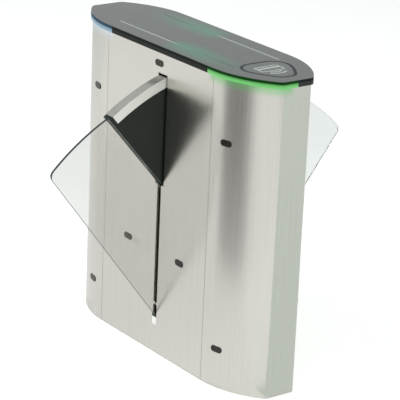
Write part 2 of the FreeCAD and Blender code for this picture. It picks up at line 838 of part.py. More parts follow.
reach_x = size("cab_length")
reach_y = size("cab_width")
led_x = size("led_start")
joint = size("band_joint") / 2
both_ways("near_trim", "far_trim", band_part((-led_x + joint, -reach_y), (led_x - joint, 0)))
right_light = band_part((led_x + joint, -reach_y), (reach_x, -joint))
left_light = band_part((-reach_x, -reach_y), (-led_x - joint, -joint))
both_ways("near_right_diffuser", "far_left_diffuser", right_light)
both_ways("near_left_diffuser", "far_right_diffuser", left_light)
keep(feature("light_tray", light_tray()), "light_tray")
keep(feature("top_glass", top_glass()), "top_glass")
line_bottom = size("total_height") - size("line_height")
both_ways("near_light_line", "far_light_line", light_line_room(line_bottom, 0))
keep(feature("reader_ring", reader_ring(0)), "reader_ring")


# Infrared sensors: a dark obround lens in the sheet, with its housing behind

def slot_sketch(body, name, length, width, offset):
    """Obround sketch on the body's XZ plane, shifted out by offset; sizes are expressions."""
    sketch = body.newObject("Sketcher::SketchObject", name)
    plane = [item for item in body.Origin.OriginFeatures if item.Role == "XZ_Plane"][0]
    sketch.AttachmentSupport = [(plane, "")]
    sketch.MapMode = "FlatFace"
    radius = size("lens_width") / 2
    half = size("lens_length") / 2 - radius
    point = FreeCAD.Vector
    sketch.addGeometry(Part.LineSegment(point(-half, radius, 0), point(half, radius, 0)))
    sketch.addGeometry(Part.ArcOfCircle(Part.Circle(point(half, 0, 0), Z_AXIS, radius), -pi / 2, pi / 2))
    sketch.addGeometry(Part.LineSegment(point(half, -radius, 0), point(-half, -radius, 0)))
    sketch.addGeometry(Part.ArcOfCircle(Part.Circle(point(-half, 0, 0), Z_AXIS, radius), pi / 2, 3 * pi / 2))
    for first, first_end, second, second_end in ((0, 2, 1, 2), (1, 1, 2, 1), (2, 2, 3, 2), (3, 1, 0, 1)):
        sketch.addConstraint(Sketcher.Constraint("Tangent", first, first_end, second, second_end))
    sketch.addConstraint(Sketcher.Constraint("Equal", 1, 3))
    sketch.addConstraint(Sketcher.Constraint("Symmetric", 1, 3, 3, 3, -1, 1))
    sketch.addConstraint(Sketcher.Constraint("PointOnObject", 1, 3, -1))
    rounding = sketch.addConstraint(Sketcher.Constraint("Radius", 1, radius))
    spread = sketch.addConstraint(Sketcher.Constraint("DistanceX", 3, 3, 1, 3, 2 * half))
    sketch.setExpression(f"Constraints[{rounding}]", f"({width}) / 2")
    sketch.setExpression(f"Constraints[{spread}]", f"({length}) - ({width})")
    sketch.setExpression("AttachmentOffset.Base.z", offset)
    return sketch


def rectangle_sketch(body, name, length, height, offset):
    """Rectangle about the origin of the body's XZ plane, shifted out by offset."""
    sketch = body.newObject("Sketcher::SketchObject", name)
    plane = [item for item in body.Origin.OriginFeatures if item.Role == "XZ_Plane"][0]
    sketch.AttachmentSupport = [(plane, "")]
    sketch.MapMode = "FlatFace"
    half_x = size("housing_length") / 2
    half_y = size("housing_width") / 2
    spots = [(-half_x, -half_y), (half_x, -half_y), (half_x, half_y), (-half_x, half_y)]
    corners = [FreeCAD.Vector(x, y, 0) for x, y in spots]
    for here, there in zip(corners, corners[1:] + corners[:1]):
        sketch.addGeometry(Part.LineSegment(here, there))
    for side in range(4):
        sketch.addConstraint(Sketcher.Constraint("Coincident", side, 2, (side + 1) % 4, 1))
        sketch.addConstraint(Sketcher.Constraint("Horizontal" if side % 2 == 0 else "Vertical", side))
    sketch.addConstraint(Sketcher.Constraint("Symmetric", 0, 1, 1, 2, -1, 1))
    across = sketch.addConstraint(Sketcher.Constraint("DistanceX", 0, 1, 0, 2, 2 * half_x))
    upright = sketch.addConstraint(Sketcher.Constraint("DistanceY", 1, 1, 1, 2, 2 * half_y))
    sketch.setExpression(f"Constraints[{across}]", length)
    sketch.setExpression(f"Constraints[{upright}]", height)
    sketch.setExpression("AttachmentOffset.Base.z", offset)
    return sketch


def sensor(label, placement, seat):
    """One sensor; seat is how far its housing lies behind the outside of the sheet."""
    body = doc.addObject("PartDesign::Body", label + "_body")
    lens = body.newObject("PartDesign::Pad", label + "_lens")
    lens.Profile = slot_sketch(body, label + "_slot", "dim.lens_length", "dim.lens_width", "dim.lens_proud")
    lens.Reversed = True
    lens.setExpression("Length", f"dim.lens_proud + {seat}")
    housing = body.newObject("PartDesign::Pad", label + "_housing")
    sides = ("dim.housing_length", "dim.housing_width")
    housing.Profile = rectangle_sketch(body, label + "_frame", *sides, f"-({seat})")
    housing.Reversed = True
    housing.setExpression("Length", "dim.housing_depth")
    body.Placement = placement
    keep(body, label)


# A flat housing behind a bent cover touches it at its ends, so it seats deeper by the bend's rise
ARC_RUN = "((dim.cab_length - dim.panel_length) / 2)"
ARC_RISE = "((dim.cab_width - dim.end_width) / 2)"
ARC_RADIUS = f"(({ARC_RUN} ^ 2 + {ARC_RISE} ^ 2) / (2 * {ARC_RISE}) - dim.sheet)"
BEND_RISE = f"({ARC_RADIUS} - sqrt({ARC_RADIUS} ^ 2 - dim.housing_length ^ 2 / 4))"
COVER_SEAT = f"(dim.sheet + {BEND_RISE} + dim.fit_gap)"
OPPOSITE = {"left": "right", "right": "left", "top": "top", "near": "far", "far": "near"}
for name, spot in PANEL_SPOTS.items():
    sensor(f"near_{name}_sensor", spot, "dim.sheet")
    sensor(f"far_{OPPOSITE[name]}_sensor", HALF_TURN.multiply(spot), "dim.sheet")
for name, spot in COVER_SPOTS.items():
    sensor(f"right_{name}_sensor", spot, COVER_SEAT)
    side, level = name.split("_")
    sensor(f"left_{OPPOSITE[side]}_{level}_sensor", HALF_TURN.multiply(spot), COVER_SEAT)

# Pivot shaft, clamped in both bearing plates, with a collar that parts the two hoods

shaft_radius = size("shaft_dia") / 2
collar = hood_back - size("fit_gap")
pivot_shape = disc(shaft_radius, -plate_end, plate_end).fuse(disc(size("hub_dia") / 2, -collar, collar))
keep(feature("pivot_shaft", pivot_shape.removeSplitter(), FAR_WING), "pivot_shaft")


def bearing_plate():
    """Upright plate with a foot on the base; holds the pivot shaft and the gear motor."""
    base = size("base_thick")
    half = size("plate_width") / 2
    plate = block((plate_start, -half, base), (plate_end, half, base + size("plate_height")))
    foot_end = plate_end + size("foot_length")
    foot_top = base + size("plate_thick")
    for low in (-half, half - size("foot_width")):
        plate = plate.fuse(block((plate_start, low, base), (foot_end, low + size("foot_width"), foot_top)))
    plate = plate.cut(disc(shaft_radius + size("running_fit"), plate_start, plate_end))
    drive_bore = size("drive_shaft_dia") / 2 + size("running_fit")
    return plate.cut(disc(drive_bore, plate_start, plate_end, (0, -drive_drop))).removeSplitter()


def gear_motor():
    """Gearbox on the bearing plate with the round motor behind it and a socket for the shaft."""
    low = (0, -drive_drop)
    half = size("gearbox_side") / 2
    box_end = plate_end + size("gearbox_length")
    middle = size("pivot_height") - drive_drop
    motor = block((plate_end, -half, middle - half), (box_end, half, middle + half))
    motor = motor.fuse(disc(size("motor_dia") / 2, box_end, box_end + size("motor_length"), low))
    socket_end = plate_end + 2 * size("drive_shaft_end")
    socket = disc(size("drive_shaft_dia") / 2 + size("running_fit"), plate_end, socket_end, low)
    return motor.cut(socket).removeSplitter()


both_wings("bearing_plate", bearing_plate())
both_wings("motor", gear_motor())

# Moving pieces of both wings

both_wings("flap_panel", flap_panel())
both_wings("flap_hub", panel_hub())
both_wings("hood_cap", hood_cap())
both_wings("hood_front", front_cheek())
both_wings("hood_back", back_cheek())
both_wings("drive_shaft", drive_shaft())

# Control unit and power supply on the base plate, inside the end covers

ELECTRICS_X = "(dim.cab_length / 2 - dim.electrics_inset)"
for label, name, side in (("control_unit", "control", "-"), ("power_supply", "supply", "")):
    lengths = (f"dim.{name}_length", f"dim.{name}_width", f"dim.{name}_height")
    corner = (f"{side}{ELECTRICS_X} - {lengths[0]} / 2", f"-{lengths[1]} / 2", "dim.base_thick")
    keep(box(name + "_box", lengths, corner), label)

# Every object has to be sound before anything is written

doc.recompute()
faults = [obj.Label for obj in doc.Objects if "Invalid" in obj.State or "Error" in obj.State]
for piece in pieces:
    if piece.Shape.isNull() or not piece.Shape.isValid() or len(piece.Shape.Solids) != 1:
        faults.append(piece.Label)
if faults:
    raise RuntimeError("unsound pieces: " + ", ".join(faults))

os.makedirs("parts", exist_ok=True)
for piece in pieces:
    piece.Shape.exportStep(f"parts/{piece.Label}.step")
print(len(pieces), "pieces written")
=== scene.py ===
# %% [markdown]
# This lesson dresses a retracting flap barrier: a satin steel cabinet with a dark glass top,
# coloured light bands at its ends and two clear flaps under black hoods.
# The shapes come ready made from a packed engineering model, already at real size in metres.
# We load that model first.

# %% Load the engineering model
from math import cos, pi, radians, sin

import bmesh
import bpy
from mathutils import Matrix, Vector


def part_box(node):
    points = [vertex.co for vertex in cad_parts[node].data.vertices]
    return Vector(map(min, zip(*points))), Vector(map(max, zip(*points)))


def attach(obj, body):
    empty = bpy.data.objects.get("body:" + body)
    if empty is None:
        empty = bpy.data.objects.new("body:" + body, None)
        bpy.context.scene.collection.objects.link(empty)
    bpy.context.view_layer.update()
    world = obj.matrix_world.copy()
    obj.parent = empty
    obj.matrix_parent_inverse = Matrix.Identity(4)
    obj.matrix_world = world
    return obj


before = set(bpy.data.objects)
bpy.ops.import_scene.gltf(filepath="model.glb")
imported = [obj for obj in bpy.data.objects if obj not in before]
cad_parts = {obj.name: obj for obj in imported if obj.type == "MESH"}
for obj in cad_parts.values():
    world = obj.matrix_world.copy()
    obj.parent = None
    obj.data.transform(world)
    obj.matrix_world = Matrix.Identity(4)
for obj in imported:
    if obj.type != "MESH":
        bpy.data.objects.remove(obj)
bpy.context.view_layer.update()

# %% [markdown]
# A shader works in linear light, but people pick colours as sRGB hex codes.
# One function turns the second into the first, so every colour below can be read off a picture.

# %% Turn a hex colour into linear light
def linear(code):
    """Linear RGBA of an sRGB hex colour such as #CCCCCC."""
    channels = [int(code[i:i + 2], 16) / 255 for i in (1, 3, 5)]
    light = [c / 12.92 if c <= 0.04045 else ((c + 0.055) / 1.055) ** 2.4 for c in channels]
    return (*light, 1.0)


print("mid grey in linear light:", round(linear("#808080")[0], 3))

# %% [markdown]
# A procedural material is a small graph of nodes. Typing the same three lines for every node is
# dull, so one helper adds a node, sets its sockets or properties, and plugs in its inputs.
# A second helper starts a material, and a third gives a material to nodes of the model.

# %% Helpers for material graphs
MM = 0.001


def add(tree, kind, settings=None, links=None):
    """Add one node; settings name its sockets or properties, links its sockets and their sources."""
    made = tree.nodes.new("ShaderNode" + kind)
    for name, value in (settings or {}).items():
        if name in made.inputs:
            made.inputs[name].default_value = value
        else:
            setattr(made, name, value)
    for name, source in (links or {}).items():
        tree.links.new(source, made.inputs[name])
    return made


def start_material(name, settings):
    """A new material whose main shader has these constant settings."""
    material = bpy.data.materials.new(name)
    material.use_nodes = True
    shader = material.node_tree.nodes["Principled BSDF"]
    for socket, value in settings.items():
        shader.inputs[socket].default_value = value
    return material, material.node_tree, shader


def dress(material, *names):
    """Give nodes of the model their material."""
    for name in names:
        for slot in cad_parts[name].material_slots:
            slot.material = material


print("helpers ready")

# %% [markdown]
# Many looks depend on where a point lies and which way it faces. These helpers split such a
# coordinate into X, Y and Z, do one step of arithmetic, and mix two numbers or two colours.
# A part may be a plain number, a hex colour or the output of another node.

# %% Helpers for arithmetic in a graph
def feed(tree, socket, part):
    """Give a socket a plain number, a hex colour or the output of another node."""
    if isinstance(part, str):
        socket.default_value = linear(part)
    elif isinstance(part, float):
        socket.default_value = part
    else:
        tree.links.new(part, socket)


def split(tree, space):
    """X, Y and Z of a point's place (Object) or of the direction it faces (Normal)."""
    coordinate = add(tree, "TexCoord")
    return add(tree, "SeparateXYZ", links={"Vector": coordinate.outputs[space]}).outputs


def calculate(tree, operation, *parts):
    """One step of arithmetic with one or two parts."""
    step = add(tree, "Math", {"operation": operation})
    for socket, part in zip(step.inputs, parts):
        feed(tree, socket, part)
    return step.outputs[0]


def mix(tree, share, first, second):
    """A number that goes from the first to the second as the share goes from 0 to 1."""
    made = add(tree, "Mix", {"data_type": "FLOAT"}, {0: share})
    feed(tree, made.inputs[2], first)
    feed(tree, made.inputs[3], second)
    return made.outputs[0]


def blend(tree, share, first, second):
    """A colour that goes from the first to the second as the share goes from 0 to 1."""
    made = add(tree, "Mix", {"data_type": "RGBA"}, {0: share})
    feed(tree, made.inputs[6], first)
    feed(tree, made.inputs[7], second)
    return made.outputs[2]


print("arithmetic helpers ready")

# %% [markdown]
# A ramp turns a value, such as a height, into another one with a smooth begin and end.
# One ramp recurs below: it tells the surfaces that face along the cabinet from the others.

# %% Helpers for smooth changes
def ramp(tree, source, start, end, low=0.0, high=1.0):
    """Map a value from start..end to low..high, with a smooth begin and end."""
    limits = {"From Min": start, "From Max": end, "To Min": low, "To Max": high}
    settings = {"interpolation_type": "SMOOTHSTEP", **limits}
    return add(tree, "MapRange", settings, {"Value": source}).outputs["Result"]


def facing_along(tree, low=0.0, high=1.0):
    """Goes from low to high where a surface faces along the cabinet."""
    sideways = calculate(tree, "ABSOLUTE", split(tree, "Normal")["X"])
    return ramp(tree, sideways, 0.3, 0.7, low, high)


print("ramps ready")

# %% [markdown]
# Nothing made by hand or machine is perfectly even. Noise stands for the unevenness: we say how
# large its blobs are in millimetres along the three axes, then let it vary colour and roughness.
# Noise seldom leaves the middle of its range, so that middle is stretched to the full change.

# %% Helpers for uneven surfaces
NOISE_LOW, NOISE_HIGH = 0.3, 0.7


def grain(tree, size_mm, detail=2.0):
    """Noise whose blobs measure size_mm along X, Y and Z of the object."""
    place = add(tree, "TexCoord").outputs["Object"]
    scale = [1 / (mm * MM) for mm in size_mm]
    stretch = add(tree, "Mapping", {"Scale": scale}, {"Vector": place})
    settings = {"Scale": 1.0, "Detail": detail}
    return add(tree, "TexNoise", settings, {"Vector": stretch.outputs["Vector"]}).outputs["Fac"]


def spread(tree, noise, low=0.0, high=1.0):
    """Stretch the middle of a noise to low..high."""
    return ramp(tree, noise, NOISE_LOW, NOISE_HIGH, low, high)


def mottled(name, settings, size_mm, colours, roughness, detail=2.0):
    """A material whose colour and roughness follow one noise."""
    material, tree, shader = start_material(name, settings)
    noise = grain(tree, size_mm, detail)
    tree.links.new(blend(tree, spread(tree, noise), *colours), shader.inputs["Base Color"])
    tree.links.new(spread(tree, noise, *roughness), shader.inputs["Roughness"])
    return material, tree, shader


print("noise helpers ready")

# %% [markdown]
# The skin is stainless steel sheet with a satin finish, ground on a belt so that fine scratches
# run up and down. Metal has no colour of its own under the reflection: its base colour tints what
# it mirrors, and the scratches blur the mirror image.
# Real scratches are a few hundredths of a millimetre wide, far too fine for the picture,
# so they are drawn 3 mm wide and very faint, as a change of tone and gloss only.

# %% Satin stainless steel
skin_steel, tree, shader = mottled(
    "satin_stainless_skin", {"Metallic": 1.0}, (3, 3, 240), ("#D2D0C9", "#D6D4CD"), (0.23, 0.26))
dress(skin_steel, "near_panel", "far_panel", "right_cover", "left_cover")
print("skin:", skin_steel.name)

# %% [markdown]
# The light bands spill colour onto the steel just under them. We paint this light into the skin as a
# faint glow that fades out below the steel's top edge: green at the right end, blue at the left.
# The steel mirrors the green band as well, so there a painted reflection pulls the base colour towards
# green.

# %% Painted spill and reflection of the light bands on the skin
STEEL_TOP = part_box("near_panel")[1][2]
LED_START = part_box("near_right_diffuser")[0][0]
SPILL = 34 * MM
SPILL_GLOW = 0.2
COLOUR_CHANGE = 0.1

at = split(tree, "Object")
near_top = ramp(tree, at["Z"], STEEL_TOP - SPILL, STEEL_TOP)
length = calculate(tree, "ABSOLUTE", at["X"])
at_end = ramp(tree, length, LED_START - 10 * MM, LED_START + 20 * MM)
in_front = ramp(tree, at["Y"], 0.0, -30 * MM)
# Painted light: a glow on the steel below the bands, masked by height, end and side.
spill = calculate(tree, "MULTIPLY", near_top, at_end)
spill = calculate(tree, "MULTIPLY", spill, in_front)
which_end = ramp(tree, at["X"], -COLOUR_CHANGE, COLOUR_CHANGE)
glow = calculate(tree, "MULTIPLY", spill, SPILL_GLOW)
tree.links.new(blend(tree, which_end, "#78BCF4", "#7CF07C"), shader.inputs["Emission Color"])
tree.links.new(glow, shader.inputs["Emission Strength"])
steel_tone = shader.inputs["Base Color"].links[0].from_socket
# Painted reflection: near the green band the steel's base colour is pulled towards green.
tinted = calculate(tree, "MULTIPLY", spill, which_end)
tree.links.new(blend(tree, tinted, steel_tone, "#96B294"), shader.inputs["Base Color"])
print("steel top at", round(STEEL_TOP, 3), "m, light bands from", round(LED_START, 3), "m")

# %% [markdown]
# The rim of each hood is stainless steel too, in a paler sheet. Its two flanges are blasted dull:
# they scatter the room's light and hardly mirror the panel beside them, so they look almost white.
# The flanges face along the cabinet, which tells the graph where the mirror gives way to scatter.

# %% Hood rim with blasted flanges
hood_steel, tree, shader = mottled(
    "satin_stainless_hood", {"Metallic": 1.0}, (30, 30, 30), ("#ECECE6", "#F0F0EA"), (0.24, 0.27))
tree.links.new(facing_along(tree, 1.0, 0.25), shader.inputs["Metallic"])
dress(hood_steel, "near_hood_cap", "far_hood_cap")
print("hood rim:", hood_steel.name)

# %% [markdown]
# The hood's sides are sheet steel with a black powder coat. Baked powder flows into a skin with a
# faint orange-peel ripple, about 2 mm from crest to crest, and a dull gloss.
# The folded lip along the mouth looks down; faces that look down are coloured a lighter grey than the
# coat.

# %% Black powder coat
PEEL_MM = (2, 2, 2)
powder_black, tree, shader = mottled(
    "powder_coat_black", {"Specular IOR Level": 0.3}, PEEL_MM, ("#1C221D", "#212722"), (0.34, 0.42))
coat = shader.inputs["Base Color"].links[0].from_socket
# Faces that look down are coloured a lighter grey than the coat.
facing_down = ramp(tree, split(tree, "Normal")["Z"], -0.35, -0.55)
tree.links.new(blend(tree, facing_down, coat, "#5C625D"), shader.inputs["Base Color"])
bump = {"Strength": 0.06, "Distance": 0.2 * MM}
ripple = add(tree, "Bump", bump, {"Height": grain(tree, PEEL_MM)})
tree.links.new(ripple.outputs["Normal"], shader.inputs["Normal"])
dress(powder_black, "near_hood_front", "near_hood_back", "far_hood_front", "far_hood_back")
print("hood sides:", powder_black.name)

# %% [markdown]
# The flaps are cast acrylic, 10 mm thick. Their faces stay as cast, clear with an index of
# refraction of 1.49 and a trace of grey. Their edges are sawn and sanded, and their tone is painted:
# painted shade makes the near flap's edges dark, its upper ones most, and painted light makes the far
# flap's pale.
# The direction a surface faces tells the graph whether it belongs to a face or to an edge.

# %% Clear cast acrylic with sanded edges
def cast_acrylic(name, painted_upper_edge, painted_lower_edge, edge_clear, clear):
    """Clear faces and sanded edges in painted light and shade; edge_clear is the share of light that
    the edges let through.
    """
    material, tree, shader = start_material(name, {"IOR": 1.49})
    face = facing_along(tree)
    upward = ramp(tree, split(tree, "Normal")["Z"], -0.3, 0.1)
    painted_edge_colour = blend(tree, upward, painted_lower_edge, painted_upper_edge)
    smears = grain(tree, (70, 70, 70))
    clear_colour = blend(tree, smears, *clear)
    tree.links.new(blend(tree, face, painted_edge_colour, clear_colour), shader.inputs["Base Color"])
    tree.links.new(ramp(tree, face, 0.0, 1.0, 0.5, 0.0), shader.inputs["Roughness"])
    transmission = ramp(tree, face, 0.0, 1.0, edge_clear, 1.0)
    tree.links.new(transmission, shader.inputs["Transmission Weight"])
    return material


# The near flap's edges carry painted shade, the far flap's painted light.
near_acrylic = cast_acrylic(
    "cast_acrylic_near_shaded_edges", "#303533", "#747976", 0.1, ("#EAEAE8", "#EEEEEC"))
far_acrylic = cast_acrylic(
    "cast_acrylic_far_lit_edges", "#E2E6E4", "#EAEEEC", 0.6, ("#F3F6F5", "#F7F9F8"))
dress(near_acrylic, "near_flap_panel")
dress(far_acrylic, "far_flap_panel")
print("flaps:", near_acrylic.name, far_acrylic.name)

# %% [markdown]
# The top is a sheet of black tempered glass. Seen at a low angle it mirrors the bright room, which
# turns black into mid grey; part of that grey is a painted reflection in the sheet's base colour.
# A trace of wiped dust keeps the mirror from being perfect,
# and the ground edges are inked black: they mirror only a trace, tinted by the ink.

# %% Black tempered glass
EDGE_ROUGHNESS = 0.7
black_glass, tree, shader = start_material(
    "tempered_glass_black", {"IOR": 1.52, "Specular IOR Level": 0.19})
dust = grain(tree, (35, 90, 35), 4.0)
level = ramp(tree, split(tree, "Normal")["Z"], 0.2, 0.6)
polish = spread(tree, dust, 0.05, 0.12)
tree.links.new(mix(tree, level, EDGE_ROUGHNESS, polish), shader.inputs["Roughness"])
tree.links.new(ramp(tree, level, 0.0, 1.0, 1.0, 0.0), shader.inputs["Metallic"])
dress(black_glass, "top_glass")
print("top:", black_glass.name)

# %% [markdown]
# Light creeps into the sheet. A soft teal halo lies beside the inlaid lines, on the teal half of
# each: the far line's left half and the near line's right half, where X and Y differ in sign.

# %% Halo beside the light lines
LINE_Y = 85 * MM
HALO_CORE = 10 * MM
HALO = 72 * MM
HALO_FADE = (0.12, 0.38)
QUARTER_SOFT = 0.003

at = split(tree, "Object")
length = calculate(tree, "ABSOLUTE", at["X"])
width = calculate(tree, "ABSOLUTE", at["Y"])
off_line = calculate(tree, "SUBTRACT", width, LINE_Y)
off_line = calculate(tree, "ABSOLUTE", off_line)
halo = ramp(tree, off_line, HALO_CORE, HALO, 1.0, 0.0)
quarter = calculate(tree, "MULTIPLY", at["X"], at["Y"])
teal_half = ramp(tree, quarter, QUARTER_SOFT, -QUARTER_SOFT)
halo = calculate(tree, "MULTIPLY", halo, teal_half)
halo = calculate(tree, "MULTIPLY", halo, ramp(tree, length, *HALO_FADE, 1.0, 0.0))
print("halo", round(2 * HALO / MM), "mm wide about each line")

# %% [markdown]
# The sheet's edge also glows, dark green and dark blue, above the lit bands. Now colour and glow
# of the glass can be put together: one pair for the edge, one for the level sheet.

# %% Colour and glow of the glass
HALO_GLOW = 0.34
at_end = ramp(tree, length, LED_START - 5 * MM, LED_START + 5 * MM)
in_front = ramp(tree, at["Y"], 0.0, -4 * MM)
edge_glow = calculate(tree, "MULTIPLY", at_end, in_front)
which_end = ramp(tree, at["X"], -COLOUR_CHANGE, COLOUR_CHANGE)
painted_edge_colour = blend(tree, which_end, "#2E4E66", "#083E08")
edge_base = blend(tree, edge_glow, "#2A2E2C", "#040604")
# The sheet's grey base colour is a painted reflection of the bright room, varied by the dust; under
# the halo it is painted nearly black.
sheet_dust_and_painted_reflection = blend(tree, spread(tree, dust), "#2D3532", "#333B38")
sheet_dust_and_painted_reflection = blend(tree, halo, sheet_dust_and_painted_reflection, "#0A1210")
halo_glow = calculate(tree, "MULTIPLY", halo, HALO_GLOW)
tree.links.new(blend(tree, level, edge_base, sheet_dust_and_painted_reflection), shader.inputs["Base Color"])
tree.links.new(blend(tree, level, painted_edge_colour, "#109068"), shader.inputs["Emission Color"])
tree.links.new(mix(tree, level, edge_glow, halo_glow), shader.inputs["Emission Strength"])
print("glass has", len(tree.nodes), "nodes")

# %% [markdown]
# The band under the glass has dark moulded plastic along the sides and opal acrylic at the ends,
# lit from inside. An opal diffuser glows evenly, so it is an emission with a soft mottled tint.
# The diffusers on the far side are switched off and look as dark as the trim.

# %% Band: dark trim and light diffusers
BAND_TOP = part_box("near_right_diffuser")[1][2]
TOP_GLOW = 0.25
band_trim, _, _ = mottled(
    "moulded_abs_black", {"Specular IOR Level": 0.15}, (4, 4, 4), ("#1C1F1C", "#222521"), (0.45, 0.6))
dress(band_trim, "near_trim", "far_trim", "light_tray")


def opal_diffuser(name, body, bright, dim, glow):
    """Glows evenly along the band and dies away towards its top."""
    material, tree, shader = start_material(name, {"Base Color": linear(body), "Roughness": 0.45})
    clouds = grain(tree, (40, 40, 12))
    tree.links.new(blend(tree, clouds, dim, bright), shader.inputs["Emission Color"])
    height = split(tree, "Object")["Z"]
    fall = ramp(tree, height, STEEL_TOP + 4 * MM, BAND_TOP + 2 * MM, glow, TOP_GLOW * glow)
    tree.links.new(fall, shader.inputs["Emission Strength"])
    return material


lit_green = opal_diffuser("opal_acrylic_lit_green", "#0C240C", "#73CC73", "#66C266", 1.0)
lit_blue = opal_diffuser("opal_acrylic_lit_blue", "#0E1A26", "#8EABBC", "#80A0B2", 1.0)
unlit = opal_diffuser("opal_acrylic_unlit", "#121513", "#303633", "#2A302D", 0.05)
dress(lit_green, "near_right_diffuser")
dress(lit_blue, "near_left_diffuser")
dress(unlit, "far_left_diffuser", "far_right_diffuser")
print("band:", band_trim.name, lit_green.name, lit_blue.name, unlit.name)

# %% [markdown]
# Two strips of opal acrylic are let into the glass. Each glows white at one end and teal at the
# other, so a ramp along the cabinet drives the colour, and the glow dies away towards the teal end.

# %% Inlaid light lines
LINE_GLOW = 0.4
LINE_FADE = 0.3
LINE_CHANGE = 0.03


def light_line(name, white_end):
    """White from the middle towards white_end (1 is right, -1 left), teal on the other half."""
    material, tree, shader = start_material(name, {"Roughness": 0.3, "Specular IOR Level": 0.2})
    along = split(tree, "Object")["X"]
    white = ramp(tree, along, -LINE_CHANGE * white_end, LINE_CHANGE * white_end)
    tree.links.new(blend(tree, white, "#2C4A40", "#5F6A64"), shader.inputs["Base Color"])
    tree.links.new(blend(tree, white, "#4CA488", "#A9B5AE"), shader.inputs["Emission Color"])
    glow = ramp(tree, along, -LINE_FADE * white_end, 0.0, 0.0, LINE_GLOW)
    tree.links.new(glow, shader.inputs["Emission Strength"])
    return material


near_line = light_line("opal_acrylic_line_near", -1)
far_line = light_line("opal_acrylic_line_far", 1)
dress(near_line, "near_light_line")
dress(far_line, "far_light_line")
print("light lines:", near_line.name, far_line.name)

# %% [markdown]
# Sensor lenses are smoked polycarbonate, nearly black, which lets only infrared light through.
# The ring round the card reader is a matt black inlay.
# The small guides at the foot of the slots are white nylon.

# %% Smoked lenses, reader ring and nylon guides
smoked, _, _ = mottled(
    "smoked_polycarbonate", {"IOR": 1.58, "Specular IOR Level": 0.3},
    (12, 12, 12), ("#17150F", "#211E16"), (0.15, 0.25))
sensors = [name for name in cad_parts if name.endswith("_sensor")]
dress(smoked, *sensors)

ring_inlay, _, _ = mottled(
    "moulded_pc_black_matt", {"Specular IOR Level": 0.2},
    (3, 3, 3), ("#33383D", "#3B4045"), (0.7, 0.85))
dress(ring_inlay, "reader_ring")

nylon, _, _ = mottled("milled_nylon_white", {}, (6, 6, 0.8), ("#F2F2EE", "#FAFAF6"), (0.4, 0.55))
dress(nylon, "near_slot_guide", "far_slot_guide")
print(len(sensors), "sensors")

# %% [markdown]
# Inside, frame and plates are zinc-plated steel with a blotchy spangle, shafts and hubs are turned
# steel, and motors and boxes are painted. They show only through the slots and when the flaps move.

# %% Inner pieces
zinc, _, _ = mottled(
    "zinc_plated_steel", {"Metallic": 1.0}, (14, 14, 14), ("#8E9396", "#B4B8BA"), (0.4, 0.5), 3.0)
posts = [f"{side}_{end}_post" for side in ("near", "far") for end in ("right", "left")]
plates = ["base_plate", "top_deck", "right_beam", "left_beam"]
dress(zinc, *posts, *plates, "near_bearing_plate", "far_bearing_plate")

turned_steel, _, _ = mottled(
    "turned_steel", {"Metallic": 1.0}, (0.9, 8, 8), ("#B0B1B2", "#BEBFC0"), (0.25, 0.4))
shafts = ["pivot_shaft", "near_drive_shaft", "far_drive_shaft"]
dress(turned_steel, *shafts, "near_flap_hub", "far_flap_hub")

dark_paint, _, _ = mottled(
    "stoved_paint_dark_grey", {}, (1.5, 1.5, 1.5), ("#303337", "#383B3F"), (0.4, 0.55))
dress(dark_paint, "near_motor", "far_motor", "control_unit", "power_supply")
print("inner pieces:", zinc.name, turned_steel.name, dark_paint.name)

# %% [markdown]
# The reader's sign is a generic card with two signal arcs, screen printed on the glass.
# Printed ink has a thickness, so the sign is a solid a few hundredths of a millimetre high.
# We build it from strips: each lies between an outer and an inner row of points. All faces are
# made one by one in a fixed order, so every run gives the same mesh.

# %% Outlines for the printed sign
INK = 0.04 * MM


def rounded(width, height, radius, steps=6):
    """Closed outline of a rounded rectangle about the origin."""
    points = []
    for quarter, (sx, sy) in enumerate(((1, 1), (-1, 1), (-1, -1), (1, -1))):
        for step in range(steps + 1):
            turn = (quarter + step / steps) * pi / 2
            x = sx * (width / 2 - radius) + radius * cos(turn)
            y = sy * (height / 2 - radius) + radius * sin(turn)
            points.append((x, y))
    return points


def bow(radius, half_angle, steps=12):
    """Points of an arc about the origin, open to -X."""
    turns = [half_angle * (2 * step / steps - 1) for step in range(steps + 1)]
    return [(radius * cos(turn), radius * sin(turn)) for turn in turns]


def strip(mesh, outer, inner, closed=False):
    """A solid strip of ink between two rows that have as many points."""
    edges = ((outer, 0), (outer, INK), (inner, INK), (inner, 0))
    rows = [[mesh.verts.new((*point, z)) for point in row] for row, z in edges]
    last = len(outer) - 1
    steps = [(i, i + 1) for i in range(last)]
    if closed:
        steps.append((last, 0))
    else:
        mesh.faces.new([row[0] for row in rows])
        mesh.faces.new([row[last] for row in rows])
    for row, other in zip(rows, rows[1:] + rows[:1]):
        for i, j in steps:
            mesh.faces.new((row[i], row[j], other[j], other[i]))


print("a card outline has", len(rounded(0.04, 0.06, 0.006)), "points")

# %% [markdown]
# Pieces that we add are built in place, in the frame of the model. One helper turns a finished
# mesh into an object, names the body that it rides on and the material slot that it belongs to.

# %% Helper for added pieces
def add_piece(name, mesh, material):
    """An object of the cabinet, made from a mesh under construction."""
    data = bpy.data.meshes.new(name)
    mesh.to_mesh(data)
    mesh.free()
    piece = bpy.data.objects.new(name, data)
    bpy.context.scene.collection.objects.link(piece)
    data.materials.append(material)
    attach(piece, "cabinet")
    print(name, len(data.polygons), "faces")


print("pieces ride on the cabinet")

# %% [markdown]
# The sign sits in the middle of the reader's ring: a card with a magnetic stripe, and the arcs
# of a signal to its right.

# %% Card sign on the reader
CARD_WIDTH, CARD_HEIGHT = 50 * MM, 88 * MM
CARD_RIM = 6 * MM
CARD_CORNER, HOLE_CORNER = 8 * MM, 3 * MM
STRIPE_LEFT, STRIPE_RIGHT = -11 * MM, 1 * MM
ARC_RADII = (34 * MM, 49 * MM)
ARC_WIDTH = 7 * MM
ARC_HALF_ANGLE = 0.6
SIGN_SHIFT = -14 * MM

